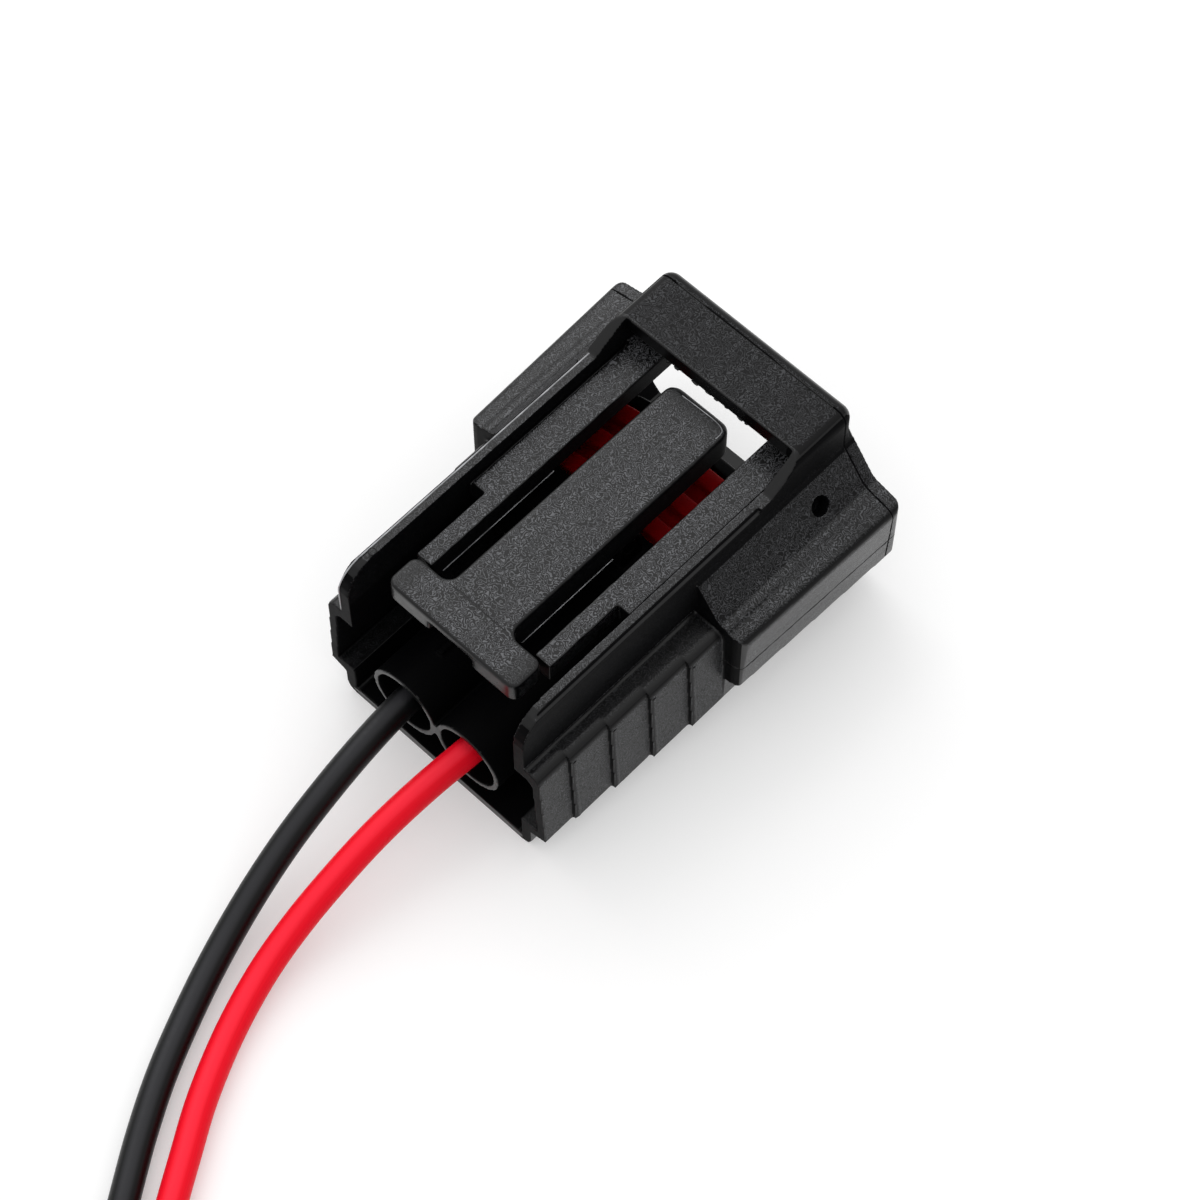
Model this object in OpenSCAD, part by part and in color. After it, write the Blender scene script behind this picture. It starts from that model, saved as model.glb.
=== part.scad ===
// Two-way sealed connector pigtail for a fuel injector.
// Millimetres, +Y is the mating direction, +Z is up, and the origin is under the middle of the housing.

/* [Rear shell] */
// Length of the housing from its cable end to its mating face
housing_len = 32; // [30:0.5:36]
// Width of the shell at the cable end
shell_w = 20.6; // [20:0.1:21.4]
// Height of the ledge along the top of the shell
ledge_z = 11.5; // [11.2:0.1:11.9]
// Wall thickness of the shell
shell_wall = 0.7; // [0.6:0.05:0.9]
// Width of the keel under the shell
keel_w = 17.8; // [17:0.1:18.2]
// Height at which the sides start above the keel
keel_h = 2.7; // [2.4:0.1:2.9]
// Thickness of the floor at the cable end
floor_t = 0.8; // [0.6:0.1:1]
// Number of grip steps on each side
step_count = 4; // [3:1:4]
// Spacing of the grip steps
step_pitch = 3.5; // [3:0.1:3.6]
// Distance that each grip step stands out from the one behind it
step_out = 0.3; // [0.2:0.02:0.36]
// Distance from the cable end to the first grip step
step_start = 2.7; // [2:0.1:3.2]

/* [Hood] */
// Length of the hood with its side wings
hood_len = 15.6; // [14.8:0.2:16.2]
// Wall thickness of the hood at its sides
hood_wall = 0.75; // [0.6:0.05:0.9]
// Thickness of the hood floor
hood_floor = 1.1; // [0.9:0.1:1.3]
// Clear height inside the hood
mouth_h = 10.5; // [10.3:0.1:10.8]
// Distance that a wing stands out from the side
wing_out = 1.35; // [1.1:0.05:1.6]
// Angle at which each wing opens towards the front, in degrees
wing_taper = 1.9; // [1.2:0.1:2.2]
// Height of the underside of the wings
wing_low = 5.4; // [5:0.1:6]
// Height of the top of the wings
wing_top = 12.2; // [11.9:0.1:12.4]
// Width of the sloped flank above a wing
flank_w = 2.2; // [2:0.1:2.3]
// Height of the sloped flank above a wing
flank_h = 3; // [2.8:0.1:3.2]
// Radius of the core pin hole in each flank
core_hole_r = 0.75; // [0.5:0.05:0.8]
// Thickness of the wall between the cable side and the hood
bulkhead_t = 3.6; // [3.2:0.1:4]

/* [Guards and bridge] */
// Clear width between the guard walls
guard_gap = 15.2; // [14.8:0.1:15.4]
// Thickness of a guard wall
guard_t = 0.95; // [0.8:0.05:1.1]
// Height of the top of the guard walls
guard_top = 17; // [16.8:0.1:17.3]
// Height of the top of the bridge
bridge_top = 18.8; // [18.5:0.1:19.2]
// Thickness of the bridge
bridge_t = 1.4; // [1.2:0.1:1.6]
// Length of the bridge along the housing
bridge_len = 5.35; // [4.8:0.05:5.5]
// Clear width between the two rails
rail_gap = 9.5; // [9:0.1:10]
// Height of the top of the rails
rail_top = 15.95; // [15.7:0.05:16.1]
// Thickness of the rails
rail_t = 1.95; // [1.7:0.05:2.1]
// Length of the rails
rail_len = 20; // [18:0.5:20.5]
// Length of the free finger behind each rail
finger_len = 6.4; // [5.5:0.1:6.5]
// Width of the free finger
finger_w = 1.4; // [1.2:0.1:1.8]

/* [Latch lever] */
// Length of the lever
lever_len = 24.3; // [23:0.1:24.5]
// Height of the top of the lever
lever_top = 16.6; // [16.4:0.1:16.8]
// Width of the lever arm
arm_w = 5.5; // [5:0.1:6]
// Thickness of the lever arm
arm_t = 2.8; // [2.4:0.1:2.9]
// Width of the press pad
pad_w = 11.8; // [10.4:0.1:12]
// Length of the press pad along the lever
pad_len = 2.8; // [2.4:0.1:3]
// Thickness of the press pad
pad_t = 2; // [1.6:0.1:2.3]
// Gap between the lever and the bridge
lever_gap = 0.45; // [0.4:0.05:0.7]
// Distance from the mating face to the pivot
pivot_back = 15.2; // [14.6:0.1:15.6]
// Height of the pivot
pivot_z = 12; // [11.8:0.1:12.1]
// Radius of the pivot pin
pivot_r = 0.6; // [0.5:0.05:0.7]
// Running clearance round the pivot pin
pivot_clearance = 0.05; // [0.02:0.01:0.08]
// Depth of the hook under the lever nose
hook_depth = 1.4; // [1:0.1:1.6]

/* [Wire ways] */
// Spacing of the two wire ways
way_pitch = 6; // [5.8:0.05:6.3]
// Height of the wire ways
way_z = 5.4; // [5.2:0.05:5.6]
// Bore radius of a wire tube
tube_bore_r = 2.5; // [2.4:0.05:2.55]
// Wall thickness of a wire tube
tube_wall = 0.42; // [0.36:0.02:0.5]

/* [Tower and seals] */
// Width of the inner tower
tower_w = 14.4; // [14:0.1:14.8]
// Height of the inner tower
tower_h = 5.4; // [5.2:0.1:5.6]
// Length of the inner tower in front of the wall behind it
tower_len = 7.4; // [6.8:0.1:7.8]
// Height of the tower axis
tower_z = 6.3; // [6.2:0.05:6.4]
// Thickness of the ring seal over its ribs
seal_t = 1.6; // [1.3:0.1:1.7]
// Height of the ring seal ribs
seal_rib = 0.4; // [0.3:0.05:0.5]
// Thickness of the front retainer plate
retainer_t = 1; // [0.8:0.1:1.2]
// Length of a wire seal
wire_seal_len = 5; // [4:0.5:5.5]
// Clearance of the pieces that are pushed into the housing
seat_clearance = 0.05; // [0.02:0.01:0.08]

/* [Terminals and wires] */
// Width of a terminal box
term_w = 2.2; // [2:0.05:2.4]
// Height of a terminal box
term_h = 2.4; // [2.2:0.05:2.6]
// Sheet thickness of a terminal
term_sheet = 0.3; // [0.25:0.05:0.35]
// Outer diameter of a wire
wire_d = 2.1; // [1.9:0.05:2.2]
// Diameter of the bare conductor
conductor_d = 1.2; // [1:0.05:1.4]
// Stripped length at the free end of a wire
strip_len = 6; // [4:0.5:8]

/* [Hidden] */
$fn = 48;
// Overrun of the cuts, a length past everything, and how far joined shapes run into each other
cut = 1;
far = 40;
sink = 0.3;

// Stations along the housing
front_y = housing_len / 2;
rear_y = -front_y;
hood_y = front_y - hood_len;
bulkhead_set = 1.4;
bulkhead_y = hood_y - bulkhead_set;
hood_inner_y = bulkhead_y + bulkhead_t;
tower_y = hood_inner_y + tower_len;
bridge_y = front_y - bridge_len;
ramp_len = 3;
lever_y = bridge_y - lever_gap;
pad_y = lever_y - lever_len;
pivot_y = front_y - pivot_back;
rail_set = 0.6;
rail_y = front_y - rail_set;

// Widths and heights
shell_draft = 0.4;
edge_r = 0.8;
front_r = 0.5;
corner_r = 0.3;
hood_side = shell_w / 2 + step_count * step_out;
foot_out = 0.2;
hood_foot = keel_w / 2 + foot_out;
guard_x = guard_gap / 2;
flank_x = guard_x + guard_t;
mouth_x = hood_side - hood_wall;
mouth_top = hood_floor + mouth_h;
mouth_r = 2.6;
channel_drop = 1.2;
channel_z = ledge_z - channel_drop;
guard_end_r = 2.6;
rebate = 0.35;
way_x = way_pitch / 2;
tube_r = tube_bore_r + tube_wall;

// Terminal cavities, which sit a little higher than the wire ways
term_rise = 0.6;
term_z = way_z + term_rise;
term_clearance = 0.15;
term_set = 0.2;
term_front = tower_y - term_set;
term_back = hood_inner_y + 0.4;
crimp_set = 2.2;
crimp_front = hood_inner_y - crimp_set;
crimp_len = 1.8;
crimp_r = conductor_d / 2 + seat_clearance + term_sheet;
grip_set = 3.4;
grip_back = bulkhead_y - grip_set;
grip_len = 1.8;
insulation_y = grip_back + grip_len + 0.2;
strand_front = crimp_front + 0.3;

// Tongue of the retainer and its slot in the tower
tongue_w = 1.6;
tongue_h = 2.2;
tongue_len = 4;
tongue_end_gap = 0.5;

// Pivot under the lever
lug_w = 2;
cheek_gap = 0.15;
cheek_w = 1.2;
cheek_r = pivot_r + 0.45;
lug_r = pivot_r + 0.3;
pivot_x = lug_w / 2 + cheek_gap + cheek_w;

// Free wires: out of the tubes, down to the surface, then one open loop
loop_x = 10;
loop_y = -75.5;
loop_step = 22.5;
loop_start = 34;
black_loop_r = 11;
red_loop_r = 13.2;
black_loop_steps = 8;
red_loop_steps = 7;
black_tail = 9.5;
red_tail = 9.5;
rest_z = 1.1;
black_lead = [[-way_x, insulation_y, way_z], [-way_x, -7, way_z], [-way_x, -11.5, way_z], [-3, -16, 5.4],
    [-2.8, -20, 5.1], [-2.5, -24, 4.4], [-2.1, -28, 3.4], [-1.4, -32, 2.4], [-0.4, -36, 1.5],
    [1, -40, rest_z], [3, -44.5, rest_z], [5.1, -48.3, rest_z], [7.4, -51.9, rest_z], [10.6, -56.7, rest_z],
    [13.9, -61.6, rest_z], [16.7, -65.8, rest_z]];
red_lead = [[way_x, insulation_y, way_z], [way_x, -7, way_z], [way_x, -11.5, way_z], [2.7, -16, 5.4],
    [2.4, -20, 5.1], [2.2, -24, 4.4], [2.2, -28, 3.4], [2.4, -31.8, 2.4], [3, -35.6, 1.6],
    [4.3, -39.8, rest_z], [6.3, -44.1, rest_z], [8.5, -47.8, rest_z], [11.5, -52.7, rest_z],
    [14.6, -57.8, rest_z], [17.8, -63, rest_z]];

function arc(cx, cy, r, from, to, steps = 6) =
    [for (i = [0:steps]) let (a = from + (to - from) * i / steps) [cx + r * cos(a), cy + r * sin(a)]];
function loop_point(r, a) = [loop_x + r * cos(a), loop_y + r * sin(a), rest_z];
function loop_points(r, steps) = [for (i = [0:steps]) loop_point(r, loop_start - i * loop_step)];
function loop_heading(steps) = loop_start - steps * loop_step - 90;
function heading_vector(a) = [cos(a), sin(a), 0];
function route(lead, r, steps, tail) =
    let (turn = loop_points(r, steps))
    concat(lead, turn, [turn[steps] + tail * heading_vector(loop_heading(steps))]);
black_route = route(black_lead, black_loop_r, black_loop_steps, black_tail);
red_route = route(red_lead, red_loop_r, red_loop_steps, red_tail);

function unit(v) = v / norm(v);
function route_heading(pts, i) = unit(pts[min(i + 1, len(pts) - 1)] - pts[max(i - 1, 0)]);
function ring(centre, along, r, sides) =
    let (side = unit(cross(along, [0, 0, 1])), up = cross(side, along))
    [for (k = [0:sides - 1]) let (a = 360 * k / sides) centre + r * (cos(a) * side + sin(a) * up)];

// A profile drawn in X and Z, drawn out along Y
module along_y(from, to) {
    translate([0, to, 0]) rotate([90, 0, 0]) linear_extrude(to - from) children();
}

// A profile drawn in Y and Z, drawn out along X
module along_x(from, to) {
    translate([from, 0, 0]) rotate([90, 0, 90]) linear_extrude(to - from) children();
}

module both_sides() {
    children();
    mirror([1, 0, 0]) children();
}

// Turns a side outwards about a corner that stays where it is
module opened(x, y, angle) {
    translate([x, y, 0]) rotate([0, 0, -angle]) translate([-x, -y, 0]) children();
}

// Keeps the right half of its children between two stations
module right_half(from, to) {
    intersection() {
        children();
        translate([0, from, -cut]) cube([far, to - from, far]);
    }
}

// What is cut off to round an upright corner at the origin: the front one, or the rear one with -1
module corner_waste(r, end) {
    translate([-r, -end * r, -cut]) difference() {
        translate([0, end > 0 ? 0 : -2 * r, 0]) cube([2 * r, 2 * r, far]);
        translate([0, 0, -cut]) cylinder(r = r, h = far + 2 * cut);
    }
}

module stadium(w, h) {
    square([w - h, h], center = true);
    translate([(w - h) / 2, 0]) circle(d = h);
    translate([-(w - h) / 2, 0]) circle(d = h);
}

// A tube swept along a wire's route
module swept_wire(pts) {
    sides = 8;
    last = len(pts) - 1;
    rings = [for (i = [0:last]) each ring(pts[i], route_heading(pts, i), wire_d / 2, sides)];
    walls = [for (i = [0:last - 1], k = [0:sides - 1])
        [i * sides + k, i * sides + (k + 1) % sides, (i + 1) * sides + (k + 1) % sides, (i + 1) * sides + k]];
    near_cap = [[for (k = [0:sides - 1]) sides - 1 - k]];
    far_cap = [[for (k = [0:sides - 1]) last * sides + k]];
    polyhedron(rings, concat(walls, near_cap, far_cap));
}

// Half section of the shell with its side at a given distance, and a rounded ledge edge
module shell_half(side) {
    slant = 0.5;
    polygon(concat([[0, keel_h - slant], [keel_w / 2, keel_h - slant], [side, keel_h]],
        arc(side - shell_draft - edge_r, ledge_z - edge_r, edge_r, 0, 90), [[0, ledge_z]]));
}

// Keel, and sides that stand out a step further at each grip edge
module rear_shell() {
    both_sides() along_y(rear_y, hood_y + cut)
        polygon(concat([[0, 0]], arc(keel_w / 2 - edge_r, edge_r, edge_r, 270, 360),
            [[keel_w / 2, keel_h], [0, keel_h]]));
    for (i = [0:step_count]) {
        from = i == 0 ? rear_y : rear_y + step_start + (i - 1) * step_pitch;
        both_sides() along_y(from, hood_y + cut) shell_half(shell_w / 2 + i * step_out);
    }
}

// Space behind the wall, open at the cable end
module rear_cavity() {
    inner = shell_w / 2 - shell_wall;
    keel_inner = keel_w / 2 - shell_wall - foot_out;
    side_low = keel_h + shell_wall;
    side_top = inner - shell_draft;
    corner = 0.4;
    along_y(rear_y - cut, bulkhead_y) {
        translate([-keel_inner, floor_t]) square([2 * keel_inner, ledge_z / 2]);
        translate([-guard_x, ledge_z / 2]) square([guard_gap, ledge_z / 2]);
        both_sides() polygon([[0, side_low], [inner, side_low], [side_top, channel_z - corner],
            [side_top - corner, channel_z], [0, channel_z]]);
    }
}

// Hood body with its chamfered foot and the sloped flank above the wing, which runs out in a soft bend
module hood() {
    bend = 0.15;
    foot = [flank_x + flank_w, wing_top];
    head = [flank_x, wing_top + flank_h];
    rise = bend * (head - foot);
    run = [norm(rise), 0];
    half = [[0, 0], [hood_foot, 0], [hood_side, keel_h], [hood_side, wing_top - 0.1],
        foot + run, foot + (run + rise) / 4, foot + rise, head, [0, head[1]]];
    both_sides() along_y(hood_y, front_y) polygon(half);
    both_sides() wing();
}

// Side wing, rounded along its top edge and at its rear corner
module wing() {
    side = hood_side + wing_out;
    root = hood_side - 3;
    low_set = 0.2;
    top_slope = 0.35;
    right_half(hood_y, front_y) opened(side, hood_y, wing_taper) difference() {
        along_y(hood_y - cut, front_y + cut)
            polygon(concat([[root, wing_low], [side - low_set, wing_low]],
                arc(side - edge_r, wing_top - top_slope - edge_r, edge_r, 0, 80),
                [[flank_x + flank_w, wing_top], [root, wing_top]]));
        translate([side, hood_y, 0]) corner_waste(edge_r, -1);
        translate([side, hood_y + hood_len / cos(wing_taper), 0]) corner_waste(edge_r, 1);
    }
}

// Space inside the hood, open at the front
module mouth_cavity() {
    half = concat([[0, hood_floor], [hood_foot, hood_floor], [mouth_x, keel_h + sink]],
        arc(mouth_x - mouth_r, mouth_top - mouth_r, mouth_r, 0, 90), [[0, mouth_top]]);
    both_sides() along_y(hood_inner_y, front_y + cut) polygon(half);
}

// Guard walls, ramps and bridge, before the channel is cut through them
module crown() {
    side_r = 1;
    side_draft = 0.05;
    back_r = 0.4;
    outline = concat([[0, channel_z - cut], [flank_x, channel_z - cut], [flank_x, ledge_z]],
        arc(flank_x - side_draft - side_r, bridge_top - side_r, side_r, 0, 90), [[0, bridge_top]]);
    side = concat([[rear_y, channel_z - cut]],
        arc(rear_y + guard_end_r, guard_top - guard_end_r, guard_end_r, 180, 90),
        [[bridge_y - ramp_len, guard_top], [bridge_y, bridge_top - side_draft],
            [bridge_y + back_r, bridge_top]],
        arc(front_y - front_r, bridge_top - front_r, front_r, 90, 0), [[front_y, channel_z - cut]]);
    difference() {
        intersection() {
            both_sides() along_y(rear_y, front_y) polygon(outline);
            along_x(-far / 2, far / 2) polygon(side);
        }
        both_sides() {
            translate([flank_x - rebate, rear_y - cut, guard_top - rebate])
                cube([far, bridge_y - ramp_len - rear_y, far]);
            translate([flank_x, front_y, wing_top + flank_h]) corner_waste(corner_r, 1);
        }
    }
}

// Space between the guard walls, open at the top up to the bridge and open at the front below it
module channel() {
    translate([-guard_x, rear_y - cut, channel_z]) cube([guard_gap, bridge_y - rear_y + cut, far]);
    translate([-guard_x, bridge_y - cut, channel_z])
        cube([guard_gap, bridge_len + 2 * cut, bridge_top - bridge_t - channel_z]);
}

// Rails inside the guard walls, with a groove along the wall and a free finger behind
module rails() {
    groove_w = 0.35;
    groove_depth = 0.5;
    rail_back = rail_y - rail_len;
    both_sides() difference() {
        union() {
            translate([rail_gap / 2, rail_back, rail_top - rail_t])
                cube([guard_x + sink - rail_gap / 2, rail_len, rail_t]);
            translate([rail_gap / 2, rail_back - finger_len, rail_top - rail_t])
                cube([finger_w, finger_len + cut, rail_t]);
        }
        translate([guard_x - groove_w, rail_back - cut, rail_top - groove_depth])
            cube([groove_w, bridge_y - rail_back + cut, far]);
    }
}

// Two tubes for the wire seals, a web that joins them, and a small mark on the left one
module wire_tubes() {
    tube_len = bulkhead_y - rear_y + cut;
    web_w = way_pitch - 2 * tube_r + 1;
    web_h = 1.2;
    mark = [0.5, 1.5, 2 * sink];
    mark_set = 3.3;
    for (x = [-way_x, way_x])
        translate([x, bulkhead_y + cut, way_z]) rotate([90, 0, 0]) cylinder(r = tube_r, h = tube_len);
    translate([-web_w / 2, rear_y, way_z - web_h / 2]) cube([web_w, tube_len, web_h]);
    translate([-way_x, rear_y + mark_set, way_z + tube_r - sink]) cube(mark);
}

// Inner tower that carries the terminals and the ring seal
module tower() {
    translate([0, 0, tower_z]) along_y(hood_inner_y - cut, tower_y) stadium(tower_w, tower_h);
}

// Low key on the hood floor, in front of the tower
module floor_key() {
    key_w = 4.8;
    key_h = 0.8;
    key_set = 0.4;
    key_y = tower_y + retainer_t + key_set;
    translate([-key_w / 2, key_y, hood_floor - sink])
        cube([key_w, front_y - key_set - key_y, key_h + sink]);
}

// Two cheeks on the wall that carry the lever's pin
module pivot_cheeks() {
    both_sides() translate([lug_w / 2 + cheek_gap, pivot_y, pivot_z]) {
        rotate([0, 90, 0]) cylinder(r = cheek_r, h = cheek_w);
        translate([0, -cheek_r, channel_z - pivot_z - sink])
            cube([cheek_w, 2 * cheek_r, pivot_z - channel_z + sink]);
    }
}

module wire_bores() {
    for (x = [-way_x, way_x])
        translate([x, bulkhead_y, way_z]) rotate([90, 0, 0]) cylinder(r = tube_bore_r, h = far);
}

// Passages for the terminals, deeper where the crimps lie, and the slot for the retainer's tongue
module terminal_cavities() {
    w = term_w + 2 * term_clearance;
    h = term_h + 2 * term_clearance;
    low_z = way_z - crimp_r - term_clearance;
    for (x = [-way_x, way_x]) {
        translate([x - w / 2, bulkhead_y - cut, term_z - h / 2]) cube([w, tower_y - bulkhead_y + 2 * cut, h]);
        translate([x - w / 2, bulkhead_y - cut, low_z]) cube([w, bulkhead_t + cut, term_z - low_z]);
    }
    translate([0, 0, tower_z]) along_y(tower_y - tongue_len - tongue_end_gap, tower_y + cut)
        square([tongue_w + 2 * seat_clearance, tongue_h + 2 * seat_clearance], center = true);
}

// Blind core pin hole, square to the sloped flank
module core_holes() {
    down = 0.62;
    depth = 1.3;
    hole_set = 4.7;
    both_sides() translate([flank_x + down * flank_w, front_y - hole_set, wing_top + (1 - down) * flank_h])
        rotate([0, atan2(flank_h, flank_w), 0]) translate([0, 0, -depth])
            cylinder(r = core_hole_r, h = depth + core_hole_r);
}

module housing() {
    color("#1c1d20") difference() {
        union() {
            difference() {
                union() {
                    rear_shell();
                    hood();
                    crown();
                }
                rear_cavity();
                mouth_cavity();
                channel();
            }
            wire_tubes();
            tower();
            rails();
            floor_key();
            pivot_cheeks();
        }
        wire_bores();
        terminal_cavities();
        core_holes();
        translate([-pivot_x - cut, pivot_y, pivot_z]) rotate([0, 90, 0])
            cylinder(r = pivot_r + pivot_clearance, h = 2 * (pivot_x + cut));
    }
}

// T-shaped plan of the lever, with round corners and small fillets behind the pad
module lever_plan() {
    nose_r = 0.9;
    corner_r = 0.7;
    root_r = 0.8;
    arm = arm_w / 2;
    pad = pad_w / 2;
    pad_front = pad_y + pad_len;
    both_sides() polygon(concat([[0, lever_y]],
        arc(arm - nose_r, lever_y - nose_r, nose_r, 90, 0),
        arc(arm + root_r, pad_front + root_r, root_r, 180, 270),
        arc(pad - corner_r, pad_front - corner_r, corner_r, 90, 0),
        arc(pad - corner_r, pad_y + corner_r, corner_r, 0, -90), [[0, pad_y]]));
}

module latch_lever() {
    relief_w = 3.8;
    relief_len = 1.2;
    relief_t = 0.85;
    hook_w = 4;
    hook_len = 1.6;
    hook_y = lever_y - 2.7;
    hook_slope = 0.2;
    arm_low = lever_top - arm_t;
    hook_low = arm_low - hook_depth;
    pad_front = pad_y + pad_len;
    color("#1f2023") {
        difference() {
            translate([0, 0, arm_low]) linear_extrude(arm_t) lever_plan();
            translate([-far / 2, pad_y - cut, arm_low - cut]) cube([far, pad_len + cut, arm_t - pad_t + cut]);
            translate([-relief_w / 2, pad_y - cut, arm_low])
                cube([relief_w, relief_len + cut, arm_t - relief_t]);
            for (side = [-1, 1])
                translate([side * (far + arm_w) / 2, pad_front + pad_len / 2, arm_low])
                    cube([far, 2 * pad_len, 2 * (arm_t - pad_t)], center = true);
        }
        along_x(-hook_w / 2, hook_w / 2)
            polygon([[hook_y - hook_slope, arm_low], [hook_y, hook_low], [hook_y + hook_len / 2, hook_low],
                [hook_y + hook_len, arm_low], [hook_y, arm_low + sink]]);
        along_x(-lug_w / 2, lug_w / 2) {
            translate([pivot_y, pivot_z]) circle(r = lug_r);
            translate([pivot_y - lug_r, pivot_z]) square([2 * lug_r, arm_low + sink - pivot_z]);
        }
        translate([-pivot_x, pivot_y, pivot_z]) rotate([0, 90, 0]) cylinder(r = pivot_r, h = 2 * pivot_x);
    }
}

// Ring seal round the tower, with three sealing ribs
module ring_seal() {
    seal_len = tower_len - 2 * seat_clearance;
    rib_len = 1.4;
    rib_set = 0.3;
    rib_pitch = (seal_len - rib_len - 2 * rib_set) / 2;
    inner_w = tower_w + 2 * seat_clearance;
    inner_h = tower_h + 2 * seat_clearance;
    body = 2 * (seal_t - seal_rib);
    color("#9c0d14") translate([0, 0, tower_z]) difference() {
        union() {
            along_y(hood_inner_y, hood_inner_y + seal_len) stadium(tower_w + body, tower_h + body);
            for (i = [0:2])
                translate([0, hood_inner_y + rib_set + i * rib_pitch, 0]) along_y(0, rib_len)
                    stadium(tower_w + 2 * seal_t, tower_h + 2 * seal_t);
        }
        along_y(hood_inner_y - cut, tower_y + cut) stadium(inner_w, inner_h);
    }
}

// Plate on the nose of the tower, with a window for each blade and a tongue into the tower
module front_retainer() {
    lip = 1.1;
    window_w = 2;
    window_h = 1;
    color("#26272a") {
        translate([0, 0, tower_z]) difference() {
            along_y(tower_y, tower_y + retainer_t) stadium(tower_w + 2 * lip, tower_h + 2 * lip);
            for (x = [-way_x, way_x])
                translate([x - window_w / 2, tower_y - cut, term_z - tower_z - window_h / 2])
                    cube([window_w, retainer_t + 2 * cut, window_h]);
        }
        translate([-tongue_w / 2, tower_y - tongue_len, tower_z - tongue_h / 2])
            cube([tongue_w, tongue_len + retainer_t / 2, tongue_h]);
    }
}

// Receptacle: folded box with a spring tongue, then a conductor crimp and an insulation crimp
module terminal(x) {
    strip_w = term_w - 2 * term_sheet;
    grip_z = way_z - wire_d / 2 - seat_clearance;
    crimp_z = way_z - crimp_r;
    strip_top = crimp_z + term_sheet - seat_clearance;
    crimp_back = crimp_front - crimp_len;
    neck_y = strand_front + 0.1;
    box_z = term_z - term_h / 2;
    spring_y = term_back + term_sheet / 2;
    spring_z = term_z + 0.6;
    tip_y = term_front - 1;
    tip_z = term_z + 0.2;
    color("#b9b6ae") {
        translate([x, 0, term_z]) difference() {
            along_y(term_back, term_front) square([term_w, term_h], center = true);
            along_y(term_back + term_sheet, term_front + cut)
                square([term_w - 2 * term_sheet, term_h - 2 * term_sheet], center = true);
        }
        along_x(x - strip_w / 2, x + strip_w / 2) {
            polygon([[spring_y, spring_z], [tip_y, tip_z], [tip_y, tip_z + term_sheet],
                [spring_y, spring_z + term_sheet]]);
            polygon([[grip_back, grip_z - term_sheet], [insulation_y, grip_z - term_sheet],
                [crimp_back, crimp_z], [neck_y, crimp_z], [term_back, box_z],
                [term_back + term_sheet, box_z + term_sheet], [neck_y, strip_top], [insulation_y, strip_top],
                [insulation_y, grip_z], [grip_back, grip_z]]);
        }
        translate([x, 0, way_z]) {
            crimp(crimp_back, crimp_front, conductor_d / 2);
            crimp(grip_back, grip_back + grip_len, wire_d / 2);
        }
    }
}

// Closed crimp round a wire of radius r
module crimp(from, to, r) {
    along_y(from, to) difference() {
        circle(r = r + seat_clearance + term_sheet);
        circle(r = r + seat_clearance);
    }
}

// Silicone plug in a wire tube, with three lips
module wire_seal(x) {
    outer = tube_bore_r - seat_clearance;
    lip_h = 0.3;
    lip_len = wire_seal_len / 5;
    seal_set = 1;
    color("#a8342c") translate([x, grip_back - seal_set - wire_seal_len, way_z]) difference() {
        union() {
            along_y(0, wire_seal_len) circle(r = outer - lip_h);
            for (i = [0:2])
                along_y(2 * i * lip_len, (2 * i + 1) * lip_len) circle(r = outer);
        }
        along_y(-cut, wire_seal_len + cut) circle(r = wire_d / 2 + seat_clearance);
    }
}

// Bare strands in the crimp and at the stripped free end
module conductor(x, pts, heading) {
    color("#c07a4a") {
        translate([x, 0, way_z]) along_y(insulation_y, strand_front) circle(d = conductor_d);
        translate(pts[len(pts) - 1]) rotate([0, 90, heading]) cylinder(d = conductor_d, h = strip_len);
    }
}

module left_terminal() terminal(-way_x);
module right_terminal() terminal(way_x);
module left_wire_seal() wire_seal(-way_x);
module right_wire_seal() wire_seal(way_x);
module black_wire() color("#17171a") swept_wire(black_route);
module red_wire() color("#e8142c") swept_wire(red_route);
module black_conductor() conductor(-way_x, black_route, loop_heading(black_loop_steps));
module red_conductor() conductor(way_x, red_route, loop_heading(red_loop_steps));

housing();
latch_lever();
ring_seal();
front_retainer();
left_terminal();
right_terminal();
left_wire_seal();
right_wire_seal();
black_wire();
red_wire();
black_conductor();
red_conductor();
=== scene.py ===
import math
import random

import bmesh
import bpy
from bpy.props import FloatProperty, FloatVectorProperty, IntProperty, PointerProperty
from mathutils import Matrix, Vector


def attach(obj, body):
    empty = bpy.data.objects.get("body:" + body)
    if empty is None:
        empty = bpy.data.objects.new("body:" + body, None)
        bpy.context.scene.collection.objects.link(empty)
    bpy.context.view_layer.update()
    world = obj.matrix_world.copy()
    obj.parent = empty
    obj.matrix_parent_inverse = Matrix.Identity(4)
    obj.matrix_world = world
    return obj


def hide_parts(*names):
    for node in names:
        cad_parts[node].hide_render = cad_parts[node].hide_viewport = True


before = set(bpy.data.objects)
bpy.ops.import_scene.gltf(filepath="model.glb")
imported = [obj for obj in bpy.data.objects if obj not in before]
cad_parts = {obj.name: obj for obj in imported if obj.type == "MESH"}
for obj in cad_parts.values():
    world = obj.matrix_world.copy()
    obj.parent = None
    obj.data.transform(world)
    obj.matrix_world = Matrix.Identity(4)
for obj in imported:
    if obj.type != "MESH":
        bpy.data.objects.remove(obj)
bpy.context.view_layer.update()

bl_info = {
    "name": "Fuel Injector Connector Pigtail",
    "version": (1, 0, 0),
    "blender": (4, 5, 0),
    "location": "View3D > Sidebar > Pigtail",
    "description": "Sealed two-way connector with a latch lever and two wire leads",
    "category": "Object",
}

MM = 0.001
SEED = 7

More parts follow.
